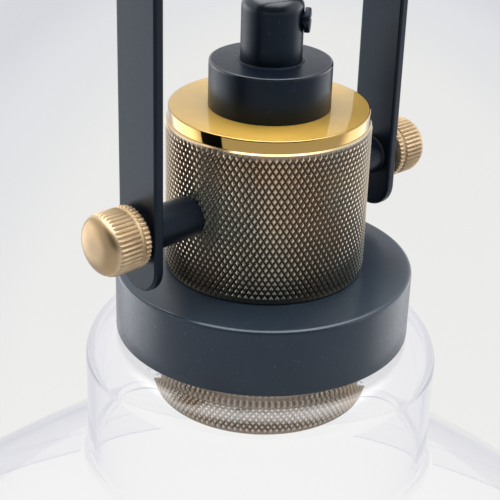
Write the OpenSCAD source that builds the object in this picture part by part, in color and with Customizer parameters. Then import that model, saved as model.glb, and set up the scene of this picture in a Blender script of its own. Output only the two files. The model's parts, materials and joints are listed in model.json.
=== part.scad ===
// Pendant light: a flat-bar yoke hangs from a hollow thread and carries a tilting lamp head,
// which holds a clear glass shade under a black gallery disc.
// Millimetres, +Z up. The origin is on the hanging thread's axis, level with the top face of
// the upper nut. X runs along the tilt axis, from the left thumbscrew to the right one.

/* [Yoke] */
// Drop from the crossbar's top face to the tilt axis
yoke_drop = 150; // [120:1:240]
// Thickness of the flat bar
bar_t = 2.7; // [2:0.1:4]
// Width of the flat bar
bar_w = 14; // [12:0.5:20]
// Rounding of the bar's long edges
bar_edge = 0.7; // [0.2:0.1:0.9]
// Inside radius of the two bends
bend_r = 10; // [5:0.5:25]
// Distance from the tilt axis down to the middle of the strap's round end
end_drop = 8; // [4:0.5:14]
// Gap between the gallery disc's rim and each strap
strap_gap = 0.6; // [0.4:0.1:4]

/* [Hanging thread] */
// Diameter of the hollow hanging thread
nipple_d = 10; // [9:0.5:13]
// Diameter of the cable hole through it
nipple_bore_d = 8; // [5:0.5:8]
// Length of thread that stands out above the upper nut
thread_out = 12; // [8:1:30]
// How much the shank inside the nuts is smaller than the thread, in radius
thread_depth = 0.4; // [0.3:0.05:0.5]
// Chamfer at the thread's ends
thread_chamfer = 0.6; // [0.2:0.1:1]
// Thickness of the hanging nuts
hang_nut_t = 4; // [2.5:0.5:6]
// Width of the nuts across their flats
nut_af = 14; // [14:0.5:17]
// Diameter of the washers on the crossbar
hang_washer_d = 20; // [18:1:28]
// Thickness of these washers
hang_washer_t = 1.5; // [1:0.1:3]

/* [Head casing] */
// Outside diameter of the knurled sleeve
sleeve_d = 52; // [50:0.5:64]
// Height of the knurled sleeve, with the tilt axis at its middle
sleeve_h = 40; // [34:1:60]
// Wall of the knurled sleeve
sleeve_wall = 2.5; // [1.5:0.1:3]
// Chamfer at the sleeve's ends
sleeve_chamfer = 0.5; // [0.2:0.1:1]
// Height of the brass cap above the sleeve
cap_h = 3.2; // [2:0.1:6]
// How far the cap is smaller than the sleeve, all round
cap_inset = 0.6; // [0.2:0.1:3]
// Depth of the cap's spigot inside the sleeve
spigot_h = 2; // [1:0.1:4]
// Diameter of the black collar
collar_d = 30.8; // [22:0.2:40]
// Height of the black collar
collar_h = 11.8; // [6:0.2:20]
// Wall of the black collar
collar_wall = 2; // [1:0.1:3]
// Rounding of the collar's and cap's top edges
top_edge = 0.5; // [0.2:0.1:1]

/* [Cord grip] */
// Outside diameter of the cord grip
grip_d = 15.4; // [14:0.2:20]
// Height of the cord grip
grip_h = 16.5; // [16:0.5:30]
// Rounding of the grip's shoulder
grip_round = 1.8; // [1:0.1:3.2]
// Diameter of the hole for the cord
cord_hole_d = 7.6; // [5:0.1:7.6]
// Depth of the thread at the foot of the grip
grip_socket = 7.5; // [5:0.5:7.5]
// Height of the clamp screw above the foot of the grip
clamp_z = 10.4; // [10.2:0.1:12]
// Bearing of the clamp screw, seen from above, from +X
clamp_angle = -50; // [-180:5:180]
// Diameter of the clamp screw's thread
clamp_d = 4; // [3:0.5:4.5]
// Diameter of the clamp screw's head
clamp_head_d = 6.2; // [5.5:0.1:8]
// Thickness of the clamp screw's head
clamp_head_t = 1.4; // [1.2:0.1:3]
// Length of the pad that presses on the cord
pad_t = 1.5; // [1:0.1:2]

/* [Thumbscrews] */
// Diameter of the thumbscrew's thread, which is the tilt pivot
stud_d = 5; // [4:0.5:6]
// Diameter of the black spacer
spacer_d = 10.4; // [9:0.2:14]
// Thickness of the friction washer between spacer and strap
friction_t = 0.8; // [0.5:0.1:2]
// Thickness of the captive washer under the thumbscrew's head
washer_t = 0.8; // [0.5:0.1:2]
// Diameter of that washer
washer_d = 12; // [10:0.5:15]
// Length of the plain neck between washer and head
neck_l = 0.5; // [0.3:0.1:3]
// Diameter of the plain neck
neck_d = 9; // [8:0.5:12]
// Diameter of the thumbscrew's head
knob_d = 15.6; // [14:0.2:24]
// Width of the toothed rim next to the strap
knob_rim = 1.7; // [1:0.1:3]
// Width of the smooth groove
knob_groove = 0.9; // [0.5:0.1:2]
// Depth of the smooth groove
knob_groove_depth = 0.7; // [0.5:0.1:1.5]
// Length of the toothed grip
knob_grip = 6.4; // [4:0.1:12]
// Height of the domed face
knob_dome = 2.4; // [0.8:0.1:3]
// Number of teeth around the head
knob_teeth = 40; // [24:1:60]
// Depth of the teeth
tooth_depth = 0.5; // [0.2:0.05:0.6]

/* [Gallery] */
// Diameter of the gallery disc
disc_d = 78; // [72:0.5:92]
// Height of the gallery disc
disc_h = 18.2; // [12:0.2:30]
// Sheet thickness of the gallery disc and its plate
disc_sheet = 1.5; // [1:0.1:2]
// Rounding of the disc's upper rim
disc_edge = 0.9; // [0.4:0.1:2]
// Thickness of the rubber gaskets
gasket_t = 0.8; // [0.5:0.1:2]

/* [Glass shade] */
// Overall diameter of the shade
shade_d = 300; // [240:1:400]
// Wall of the glass
glass_t = 2.2; // [1.8:0.1:3]
// Outside diameter of the shade's neck
glass_neck_d = 94.6; // [93:0.2:120]
// Height of the neck, from its flat top to the start of the flare
glass_neck_h = 35.8; // [32:0.2:60]
// Outside rounding of the neck's shoulder
shoulder_r = 8.2; // [5:0.1:10]
// Outside radius of the fillet between neck and flare
flare_fillet = 6; // [3:0.5:12]
// Slope of the flare where it leaves the neck, in degrees below level
flare_angle = 35.5; // [25:0.5:45]
// Radius of the flare's gentle bow
flare_bow = 1200; // [600:10:2500]
// Outside radius where the flare turns down into the lip
lip_r = 9; // [6:0.5:15]
// Height of the straight lip
lip_h = 6; // [2:0.5:15]

/* [Lampholder] */
// How far the shade ring stands out beyond the knurled sleeve, all round
ring_out = 1.1; // [0:0.1:1.4]
// Depth of the shade ring, from its knurl in to the skirt's thread
ring_depth = 7.2; // [5.9:0.1:8.1]
// Length of the skirt below the gallery disc's underside
skirt_out = 18.3; // [16:0.1:24]
// Inside diameter of the lamp's screw shell
shell_d = 26.6; // [26.2:0.1:27]
// Length of the screw shell's wide part, which takes the lamp
shell_l = 22; // [20:0.5:24]
// Length of its narrow part, round the centre contact
shell_neck_l = 4.5; // [4.5:0.5:6]
// Sheet thickness of the screw shell
shell_t = 0.45; // [0.3:0.05:0.6]
// Thickness of the insulating core
core_h = 20; // [18:0.5:24]
// Travel of the sprung centre contact
contact_travel = 1.5; // [0.5:0.1:2]
// Height of the shade ring
ring_h = 16.2; // [12:0.2:20]
// Length of the shade ring's thread
ring_thread = 6; // [4:0.5:9]

/* [Fits] */
// Radial clearance of a screw in the hole that it turns in
turn_play = 0.08; // [0.04:0.01:0.1]
// Gap between flat faces that slide on each other
face_play = 0.05; // [0.02:0.01:0.2]
// Radial clearance of pieces that are fixed together
fixed_play = 0.1; // [0.05:0.05:0.2]

/* [Hidden] */
$fn = 96;
tiny = 0.01;
nipple_r = nipple_d / 2;
nipple_shank_r = nipple_r - thread_depth;
nut_bore_r = nipple_shank_r + fixed_play;
nipple_bore_r = nipple_bore_d / 2;
sleeve_r = sleeve_d / 2;
sleeve_in_r = sleeve_r - sleeve_wall;
cap_r = sleeve_r - cap_inset;
disc_r = disc_d / 2;
strap_in = disc_r + strap_gap;
strap_out = strap_in + bar_t;
stud_r = stud_d / 2;
ring_r = sleeve_r + ring_out;
skirt_r = ring_r - ring_depth;
shade_r = shade_d / 2;
glass_neck_r = glass_neck_d / 2;

// Heights of the hanging stack, from the origin down
bar_top = -hang_nut_t - hang_washer_t;
bar_bottom = bar_top - bar_t;
nipple_tail = 2;
nipple_end = bar_bottom - hang_washer_t - hang_nut_t - nipple_tail;
pivot_z = bar_top - yoke_drop;

// Heights in the head, from the tilt axis
sleeve_top = sleeve_h / 2;
disc_top = -sleeve_h / 2;
cap_top = sleeve_top + cap_h;
collar_top = cap_top + collar_h;
grip_top = collar_top + grip_h;
grip_socket_end = collar_top + grip_socket;
head_nut_t = 3;
head_nut_top = sleeve_top - spigot_h;
earth_tag_t = 0.6;
holder_neck_top = head_nut_top - head_nut_t - earth_tag_t;
holder_neck_h = 4.4;
holder_cap_top = holder_neck_top - holder_neck_h;
disc_bottom = disc_top - disc_h;
glass_top = disc_bottom - gasket_t;
ring_top = glass_top - glass_t - gasket_t;
ring_bottom = ring_top - ring_h;
skirt_bottom = disc_bottom - skirt_out;
skirt_flange_t = 2;
shell_setback = 5.5;
shell_bottom = skirt_bottom + shell_setback;
core_bottom = shell_bottom + shell_l + shell_neck_l + shell_t;
core_top = core_bottom + core_h;
core_flange_t = 4;
skirt_cover = 2;
skirt_top = core_top + skirt_cover;

// Radii in the lampholder
skirt_wall = 2.2;
skirt_in_r = skirt_r - skirt_wall;
holder_cap_r = skirt_in_r - fixed_play;
holder_cap_wall = 1;
core_r = holder_cap_r - holder_cap_wall - fixed_play;
shell_in_r = shell_d / 2;
shell_out_r = shell_in_r + shell_t;
shell_gap = 0.45;
skirt_lamp_r = shell_out_r + shell_gap;
skirt_flange_gap = 1;
skirt_flange_r = sleeve_in_r - skirt_flange_gap;
hub_play = 0.2;
hub_r = skirt_r + hub_play;
ring_bore_r = skirt_r + turn_play;
ring_wall = 3;
ring_recess_r = ring_r - ring_wall;
shell_step = 1.2;
shell_hole_r = 6;

// Terminals
block_x = 9.5;
block = [6, 8, 8];
pocket_play = 0.2;
block_sunk = 0.5;
block_top = core_top - block_sunk;
block_low = block_top - block.z;
lead_t = 0.5;
lead_w = 4;
terminal_r = 1.5;
terminal_head_r = 2.6;
terminal_head_t = 2;

// Sprung centre contact
pocket_r = 4.2;
pocket_top = block_low - lead_t;
piston_play = 0.2;
piston_r = pocket_r - piston_play;
piston_lift = 3;
piston_top = core_bottom + piston_lift;
piston_t = 2;
contact_stem_r = 2.4;
contact_nose_r = 2.8;
nose_out = 4;
contact_nose_end = core_bottom - nose_out;
spring_r = 3.7;
spring_wire = 0.6;

// Earth tag
tag_reach = 12;
tag_w = 6;
earth_r = 1.5;
earth_head_r = 2.6;
earth_nut_t = 1.8;

// Thumbscrew, along its own axis from the strap's outer face
knob_start = washer_t + 2 * face_play + neck_l;
groove_start = knob_start + knob_rim;
grip_start = groove_start + knob_groove;
grip_end = grip_start + knob_grip;
pivot_nut_gap = 0.7;
pivot_nut_in = skirt_r + pivot_nut_gap;
stud_short = 0.4;
stud_end = pivot_nut_in + stud_short;
pivot_nut_r = 5.5;

// Clamp screw, along its own axis from the grip's axis
pad_start = cord_hole_d / 2 + face_play;
clamp_start = pad_start + pad_t + face_play;
clamp_head_gap = 0.2;
clamp_head_start = grip_d / 2 + clamp_head_gap;
slot_w = 0.9;
slot_depth = 0.8;

BLACK = [0.09, 0.09, 0.10];
BRASS = [0.80, 0.62, 0.28];
PALE_BRASS = [0.83, 0.69, 0.42];
ANTIQUE_BRASS = [0.50, 0.43, 0.30];
STEEL = [0.68, 0.69, 0.70];
RUBBER = [0.06, 0.06, 0.06];
PHENOLIC = [0.07, 0.06, 0.06];
CERAMIC = [0.93, 0.92, 0.88];
CLEAR = [0.85, 0.92, 0.95, 0.35];

// Points along an arc about (cx, cy), from angle a0 to a1
function arc(cx, cy, r, a0, a1, n) =
    [for (i = [0 : n]) let (a = a0 + (a1 - a0) * i / n) [cx + r * cos(a), cy + r * sin(a)]];

// Outline of a wheel with pointed teeth
function toothed(n, r, depth) =
    [for (i = [0 : 2 * n - 1]) let (a = 180 * i / n, q = i % 2 == 0 ? r : r - depth)
        [q * cos(a), q * sin(a)]];

// A ring or tube from z0 up to z1
module tube(r_out, r_in, z0, z1) {
    difference() {
        translate([0, 0, z0]) cylinder(r = r_out, h = z1 - z0);
        translate([0, 0, z0 - 1]) cylinder(r = r_in, h = z1 - z0 + 2);
    }
}

// A hexagon nut from z0 up to z1
module hex_nut(af, r_in, z0, z1) {
    difference() {
        translate([0, 0, z0]) cylinder(d = af / cos(30), h = z1 - z0, $fn = 6);
        translate([0, 0, z0 - 1]) cylinder(r = r_in, h = z1 - z0 + 2);
    }
}

// The bar's cross-section: thickness along x, width along y, round edges
module bar_section() {
    flat = bar_t / 2 - bar_edge;
    side = bar_w / 2 - bar_edge;
    square([bar_t, 2 * side], center = true);
    square([2 * flat, bar_w], center = true);
    for (x = [-flat, flat], y = [-side, side])
        translate([x, y]) circle(r = bar_edge, $fn = 32);
}

// One strap of the yoke, from the bend down to its round end
module strap() {
    mid = strap_in + bar_t / 2;
    end_z = pivot_z - end_drop;
    bend_z = bar_bottom - bend_r;
    translate([mid, 0, end_z]) linear_extrude(bend_z - end_z) bar_section();
    // the round end, turned about the strap's thickness
    translate([mid, 0, end_z]) rotate([0, 90, 0]) rotate_extrude()
        intersection() {
            rotate(90) bar_section();
            translate([0, -bar_t]) square([bar_w, 2 * bar_t]);
        }
    // the bend
    translate([strap_in - bend_r, 0, bend_z]) rotate([90, 0, 0]) rotate_extrude(angle = 90)
        translate([bend_r + bar_t / 2, 0]) bar_section();
}

module yoke() {
    cross = strap_in - bend_r;
    color(BLACK) difference() {
        union() {
            strap();
            mirror([1, 0, 0]) strap();
            translate([-cross, 0, bar_bottom + bar_t / 2]) rotate([0, 90, 0])
                linear_extrude(2 * cross) bar_section();
        }
        translate([0, 0, bar_bottom - 1]) cylinder(r = nipple_r + fixed_play, h = bar_t + 2);
        translate([-strap_out - 1, 0, pivot_z]) rotate([0, 90, 0])
            cylinder(r = stud_r + turn_play, h = 2 * strap_out + 2);
    }
}

module hang_nipple() {
    c = thread_chamfer;
    color(STEEL) rotate_extrude() polygon([[nipple_bore_r, nipple_end],
        [nipple_shank_r - c, nipple_end], [nipple_shank_r, nipple_end + c],
        [nipple_shank_r, 0], [nipple_r, 0], [nipple_r, thread_out - c],
        [nipple_r - c, thread_out], [nipple_bore_r, thread_out]]);
}

module hang_nut_upper() {
    color(BLACK) hex_nut(nut_af, nut_bore_r, -hang_nut_t, 0);
}

module hang_nut_lower() {
    top = bar_bottom - hang_washer_t;
    color(BLACK) hex_nut(nut_af, nut_bore_r, top - hang_nut_t, top);
}

module hang_washers() {
    color(BLACK) {
        tube(hang_washer_d / 2, nipple_r + fixed_play, bar_top, bar_top + hang_washer_t);
        tube(hang_washer_d / 2, nipple_r + fixed_play, bar_bottom - hang_washer_t, bar_bottom);
    }
}

// Everything below hangs on the tilt axis
module at_pivot() {
    translate([0, 0, pivot_z]) children();
}

// The clamp screw's own axis, with +Z along it, away from the grip
module at_clamp() {
    at_pivot() translate([0, 0, collar_top + clamp_z])
        rotate([0, 0, clamp_angle]) rotate([0, 90, 0]) children();
}

module cord_grip() {
    r = grip_d / 2;
    hole = cord_hole_d / 2;
    c = 0.5;
    profile = concat([[nut_bore_r, collar_top], [r - c, collar_top], [r, collar_top + c]],
        arc(r - grip_round, grip_top - grip_round, grip_round, 0, 90, 10),
        [[hole + c, grip_top], [hole, grip_top - c], [hole, grip_socket_end],
        [nut_bore_r, grip_socket_end]]);
    color(BLACK) difference() {
        at_pivot() rotate_extrude() polygon(profile);
        at_clamp() cylinder(r = clamp_d / 2 + turn_play, h = grip_d);
    }
}

module grip_screw() {
    color(BLACK) at_clamp() difference() {
        union() {
            translate([0, 0, clamp_start])
                cylinder(d = clamp_d, h = clamp_head_start - clamp_start + tiny);
            translate([0, 0, clamp_head_start])
                cylinder(d = clamp_head_d, h = clamp_head_t - top_edge);
            translate([0, 0, clamp_head_start + clamp_head_t - top_edge])
                cylinder(d1 = clamp_head_d, d2 = clamp_head_d - 2 * top_edge, h = top_edge);
        }
        translate([-clamp_head_d, -slot_w / 2, clamp_head_start + clamp_head_t - slot_depth])
            cube([2 * clamp_head_d, slot_w, 2 * slot_depth]);
    }
}

module grip_pad() {
    color(CERAMIC) at_clamp() translate([0, 0, pad_start]) cylinder(d = clamp_d, h = pad_t);
}

module collar() {
    r = collar_d / 2;
    profile = concat([[r - collar_wall, cap_top], [r, cap_top]],
        arc(r - top_edge, collar_top - top_edge, top_edge, 0, 90, 4),
        [[nipple_r + fixed_play, collar_top], [nipple_r + fixed_play, collar_top - collar_wall],
        [r - collar_wall, collar_top - collar_wall]]);
    color(BLACK) at_pivot() rotate_extrude() polygon(profile);
}

module cap_plate() {
    hole = nipple_r + fixed_play;
    spigot = sleeve_in_r - fixed_play;
    profile = concat([[hole, sleeve_top - spigot_h], [spigot, sleeve_top - spigot_h],
        [spigot, sleeve_top], [cap_r, sleeve_top]],
        arc(cap_r - top_edge, cap_top - top_edge, top_edge, 0, 90, 4), [[hole, cap_top]]);
    color(BRASS) at_pivot() rotate_extrude() polygon(profile);
}

module knurled_sleeve() {
    c = sleeve_chamfer;
    color(ANTIQUE_BRASS) at_pivot() difference() {
        rotate_extrude() polygon([[sleeve_in_r, disc_top], [sleeve_r - c, disc_top],
            [sleeve_r, disc_top + c], [sleeve_r, sleeve_top - c], [sleeve_r - c, sleeve_top],
            [sleeve_in_r, sleeve_top]]);
        translate([-sleeve_d, 0, 0]) rotate([0, 90, 0])
            cylinder(r = stud_r + turn_play, h = 2 * sleeve_d);
    }
}

module head_nipple() {
    c = thread_chamfer;
    low = holder_cap_top - 0.5;
    high = grip_socket_end - 0.5;
    r = nipple_shank_r;
    color(STEEL) at_pivot() rotate_extrude() polygon([[nipple_bore_r, low], [r - c, low],
        [r, low + c], [r, high - c], [r - c, high], [nipple_bore_r, high]]);
}

module head_locknut() {
    color(STEEL) at_pivot() hex_nut(nut_af, nut_bore_r, head_nut_top - head_nut_t, head_nut_top);
}

module earth_tag() {
    z = holder_neck_top;
    color(PALE_BRASS) at_pivot() difference() {
        union() {
            translate([0, 0, z]) cylinder(r = nipple_r + 2.5, h = earth_tag_t);
            translate([0, -tag_w / 2, z]) cube([tag_reach, tag_w, earth_tag_t]);
            translate([tag_reach, 0, z]) cylinder(d = tag_w, h = earth_tag_t);
        }
        translate([0, 0, z - 1]) cylinder(r = nipple_r, h = earth_tag_t + 2);
        translate([tag_reach, 0, z - 1]) cylinder(r = earth_r + fixed_play, h = earth_tag_t + 2);
    }
}

// The screw and its nut, on the two sides of the tag
module earth_screw() {
    z = holder_neck_top;
    color(STEEL) at_pivot() translate([tag_reach, 0, 0]) {
        translate([0, 0, z + earth_tag_t]) cylinder(r = earth_head_r, h = 1.6);
        translate([0, 0, z - earth_nut_t - 0.6])
            cylinder(r = earth_r, h = earth_nut_t + earth_tag_t + 0.7);
        hex_nut(5.5, earth_r + fixed_play, z - earth_nut_t, z);
    }
}

// A threaded nut behind each hole of the sleeve, shaped to the sleeve's inside
module pivot_nuts() {
    color(STEEL) at_pivot() for (side = [0, 1]) mirror([side, 0, 0])
        difference() {
            intersection() {
                translate([pivot_nut_in, 0, 0]) rotate([0, 90, 0])
                    cylinder(r = pivot_nut_r, h = sleeve_r - pivot_nut_in);
                cylinder(r = sleeve_in_r - tiny, h = 4 * pivot_nut_r, center = true);
            }
            rotate([0, 90, 0]) cylinder(r = stud_r + turn_play, h = sleeve_r);
        }
}

// The right-hand spacer, cut to the round sleeve at its inner end
module spacer() {
    color(BLACK) at_pivot() difference() {
        rotate([0, 90, 0]) cylinder(d = spacer_d, h = strap_in - face_play - friction_t);
        cylinder(r = sleeve_r + tiny, h = 2 * spacer_d, center = true);
        rotate([0, 90, 0]) cylinder(r = stud_r + turn_play, h = strap_out);
    }
}

module friction_washer() {
    color(RUBBER) at_pivot() rotate([0, 90, 0])
        tube(spacer_d / 2, stud_r + turn_play, strap_in - face_play - friction_t, strap_in - face_play);
}

module washer() {
    color(STEEL) at_pivot() rotate([0, 90, 0])
        tube(washer_d / 2, stud_r + turn_play, strap_out + face_play, strap_out + face_play + washer_t);
}

// Toothed band of the thumbscrew's head
module teeth(z0, z1) {
    translate([0, 0, z0]) linear_extrude(z1 - z0)
        polygon(toothed(knob_teeth, knob_d / 2, tooth_depth));
}

// The right-hand thumbscrew
module thumbscrew() {
    core_d = knob_d - 2 * knob_groove_depth;
    face_r = knob_d / 2 - tooth_depth - 0.1;
    // radius of the sphere that the domed face is cut from
    ball = (face_r * face_r + knob_dome * knob_dome) / (2 * knob_dome);
    color(PALE_BRASS) at_pivot() translate([strap_out, 0, 0]) rotate([0, 90, 0]) {
        translate([0, 0, stud_end - strap_out])
            cylinder(r = stud_r, h = strap_out - stud_end + knob_start + 1);
        translate([0, 0, knob_start - neck_l]) cylinder(d = neck_d, h = neck_l + 1);
        translate([0, 0, knob_start]) cylinder(d = core_d, h = grip_end - knob_start);
        teeth(knob_start, groove_start);
        teeth(grip_start, grip_end);
        rotate_extrude() polygon(concat([[0, grip_end - 1], [face_r, grip_end - 1]],
            arc(0, grip_end + knob_dome - ball, ball, acos(face_r / ball), 90, 12)));
    }
}

module left_spacer() {
    mirror([1, 0, 0]) spacer();
}

module right_spacer() {
    spacer();
}

module left_friction_washer() {
    mirror([1, 0, 0]) friction_washer();
}

module right_friction_washer() {
    friction_washer();
}

module left_washer() {
    mirror([1, 0, 0]) washer();
}

module right_washer() {
    washer();
}

module left_thumbscrew() {
    mirror([1, 0, 0]) thumbscrew();
}

module right_thumbscrew() {
    thumbscrew();
}

// Metal cap of the lampholder, with the threaded neck that hangs it on the nipple
module holder_cap() {
    r = holder_cap_r;
    w = holder_cap_wall;
    foot = core_bottom + core_flange_t;
    neck = nipple_r + 2.5;
    color(STEEL) at_pivot() rotate_extrude() polygon([[r - w, foot], [r, foot],
        [r, holder_cap_top - w], [r - w, holder_cap_top], [neck, holder_cap_top],
        [neck, holder_neck_top], [nut_bore_r, holder_neck_top], [nut_bore_r, holder_cap_top - w],
        [r - 2 * w, holder_cap_top - w], [r - w, holder_cap_top - 2 * w]]);
}

// Insulating core, with pockets for the terminals and the sprung contact
module holder_core() {
    pocket = [block.x + 2 * pocket_play, block.y + 2 * pocket_play, block.z + 1];
    color(CERAMIC) at_pivot() difference() {
        union() {
            translate([0, 0, core_bottom]) cylinder(r = core_r, h = core_h);
            translate([0, 0, core_bottom])
                cylinder(r = skirt_in_r - fixed_play, h = core_flange_t - face_play);
        }
        for (x = [-block_x, block_x])
            translate([x - pocket.x / 2, -pocket.y / 2, block_low]) cube(pocket);
        translate([0, 0, core_bottom - 1]) cylinder(r = pocket_r, h = pocket_top - core_bottom + 1);
        lead_slots();
    }
}

// Room for the two leads: one down to the screw shell, one across to the spring
module lead_slots() {
    slot = lead_w + 2 * pocket_play;
    translate([block_x - lead_t / 2 - pocket_play, -slot / 2, core_bottom - 1])
        cube([lead_t + 2 * pocket_play, slot, block_low - core_bottom + 2]);
    translate([-block_x - lead_w / 2, -slot / 2, pocket_top - tiny])
        cube([block_x + lead_w, slot, block_low - pocket_top + 2 * tiny]);
}

// A brass block with a hole for the wire and one for the screw
module terminal_blocks() {
    color(BRASS) at_pivot() for (x = [-block_x, block_x]) translate([x, 0, block_low])
        difference() {
            translate([-block.x / 2, -block.y / 2, 0]) cube(block);
            translate([0, 0, block.z / 4]) cylinder(r = terminal_r + fixed_play, h = block.z);
            translate([0, block.y, block.z / 4]) rotate([90, 0, 0])
                cylinder(r = terminal_r, h = 2 * block.y);
        }
}

module terminal_screws() {
    color(STEEL) at_pivot() for (x = [-block_x, block_x]) translate([x, 0, block_top]) {
        translate([0, 0, -block.z / 2 + 0.5]) cylinder(r = terminal_r, h = block.z / 2);
        cylinder(r = terminal_head_r, h = terminal_head_t);
    }
}

// Two strips: from one block to the screw shell, and from the other to the spring
module contact_leads() {
    color(BRASS) at_pivot() {
        translate([block_x - lead_t / 2, -lead_w / 2, core_bottom])
            cube([lead_t, lead_w, block_low - core_bottom]);
        translate([-block_x - lead_w / 2, -lead_w / 2, pocket_top])
            cube([block_x + lead_w, lead_w, lead_t]);
    }
}

module contact_spring() {
    color(STEEL) at_pivot() tube(spring_r, spring_r - spring_wire, piston_top, pocket_top);
}

module centre_contact() {
    low = piston_top - piston_t;
    stem_top = pocket_top - contact_travel - 0.5;
    profile = concat([[0, contact_nose_end]],
        arc(contact_nose_r - 1, contact_nose_end + 1, 1, -90, 0, 6),
        [[contact_nose_r, low], [piston_r, low], [piston_r, piston_top],
        [contact_stem_r, piston_top], [contact_stem_r, stem_top], [0, stem_top]]);
    color(BRASS) at_pivot() rotate_extrude() polygon(profile);
}

// Brass shell that the lamp screws into, with a flange against the core
module screw_shell() {
    narrow_r = shell_in_r - shell_step;
    shoulder = shell_bottom + shell_l;
    color(BRASS) at_pivot() rotate_extrude() polygon([[shell_hole_r, core_bottom - shell_t],
        [narrow_r, core_bottom - shell_t], [narrow_r, shoulder], [shell_in_r, shoulder],
        [shell_in_r, shell_bottom], [shell_out_r, shell_bottom],
        [shell_out_r, shoulder + shell_t], [narrow_r + shell_t, shoulder + shell_t],
        [narrow_r + shell_t, core_bottom], [shell_hole_r, core_bottom]]);
}

// Insulating skirt: hangs on the core's flange, and carries the shade ring on its outside
module holder_skirt() {
    color(PHENOLIC) at_pivot() rotate_extrude() polygon([[skirt_lamp_r, skirt_bottom],
        [skirt_r - 0.8, skirt_bottom], [skirt_r, skirt_bottom + 0.8], [skirt_r, disc_top],
        [skirt_flange_r, disc_top], [skirt_flange_r, disc_top + skirt_flange_t],
        [skirt_r, disc_top + skirt_flange_t], [skirt_r, skirt_top], [skirt_in_r, skirt_top],
        [skirt_in_r, core_bottom], [skirt_lamp_r, core_bottom]]);
}

module gallery_disc() {
    w = disc_sheet;
    e = disc_edge;
    profile = concat([[hub_r, disc_top - w], [disc_r - w, disc_top - w],
        [disc_r - w, disc_bottom], [disc_r, disc_bottom]],
        arc(disc_r - e, disc_top - e, e, 0, 90, 6), [[hub_r, disc_top]]);
    color(BLACK) at_pivot() rotate_extrude() polygon(profile);
}

// Keeps the gallery disc's top from bending when the shade ring is tightened
module distance_tube() {
    color(STEEL) at_pivot()
        tube(sleeve_r, sleeve_r - 2, disc_bottom + disc_sheet, disc_top - disc_sheet);
}

module gallery_plate() {
    rim = disc_r - disc_sheet - fixed_play;
    color(BLACK) at_pivot() tube(rim, hub_r, disc_bottom, disc_bottom + disc_sheet);
}

module gallery_gasket() {
    color(RUBBER) at_pivot() tube(disc_r - 3, hub_r + 0.8, glass_top, disc_bottom);
}

// Outer and inner surface of the shade, from the hole in its top down to the lip.
// Both are the same arcs, which differ by the wall; inner is 1 for the inside.
function shade_side(inner) =
    let (t = inner * glass_t,
        foot = glass_top - glass_neck_h,
        a1 = flare_angle,
        r1 = glass_neck_r + flare_fillet * (1 - sin(a1)),
        z1 = foot - flare_fillet * cos(a1),
        bow_x = r1 - flare_bow * sin(a1),
        bow_z = z1 - flare_bow * cos(a1),
        a2 = asin((shade_r - lip_r - bow_x) / (flare_bow - lip_r)),
        lip_x = shade_r - lip_r,
        lip_z = bow_z + (flare_bow - lip_r) * cos(a2))
    concat(
        [[hub_r + 0.5, glass_top - t]],
        arc(glass_neck_r - shoulder_r, glass_top - shoulder_r, shoulder_r - t, 90, 0, 10),
        arc(glass_neck_r + flare_fillet, foot, flare_fillet + t, 180, 270 - a1, 8),
        arc(bow_x, bow_z, flare_bow - t, 90 - a1, 90 - a2, 16),
        arc(lip_x, lip_z, lip_r - t, 90 - a2, 0, 8),
        [[shade_r - t, lip_z - lip_h]]);

// Height of the shade's lowest edge, from the tilt axis
shade_foot = shade_side(0)[len(shade_side(0)) - 1].y;

module glass_shade() {
    outer = shade_side(0);
    inner = shade_side(1);
    last = len(inner) - 2;
    rim = arc(shade_r - glass_t / 2, shade_foot, glass_t / 2, 0, -180, 8);
    color(CLEAR) at_pivot() rotate_extrude($fn = 144)
        polygon(concat([for (i = [0 : last]) outer[i]], rim, [for (i = [last : -1 : 0]) inner[i]]));
}

module shade_gasket() {
    color(RUBBER) at_pivot() tube(sleeve_r - 1, hub_r + 0.8, ring_top, ring_top + gasket_t);
}

// Knurled ring that screws onto the skirt and clamps the shade
module shade_ring() {
    c = sleeve_chamfer;
    step = ring_top - ring_thread;
    color(ANTIQUE_BRASS) at_pivot() rotate_extrude() polygon([[ring_bore_r, ring_top],
        [ring_bore_r, step], [ring_recess_r, step - (ring_recess_r - ring_bore_r) / 2],
        [ring_recess_r, ring_bottom], [ring_r - c, ring_bottom], [ring_r, ring_bottom + c],
        [ring_r, ring_top - c], [ring_r - c, ring_top]]);
}

yoke();
hang_nipple();
hang_nut_upper();
hang_nut_lower();
hang_washers();
cord_grip();
grip_screw();
grip_pad();
collar();
cap_plate();
knurled_sleeve();
head_nipple();
head_locknut();
earth_tag();
earth_screw();
pivot_nuts();
left_spacer();
right_spacer();
left_friction_washer();
right_friction_washer();
left_washer();
right_washer();
left_thumbscrew();
right_thumbscrew();
holder_cap();
holder_core();
terminal_blocks();
terminal_screws();
contact_leads();
contact_spring();
centre_contact();
screw_shell();
holder_skirt();
gallery_disc();
distance_tube();
gallery_plate();
gallery_gasket();
glass_shade();
shade_gasket();
shade_ring();
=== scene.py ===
"""Pendant light: knurled brass head in a black yoke, over a clear glass shade, in a pale studio."""
import json
import math

import bpy
from mathutils import Matrix, Vector


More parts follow.
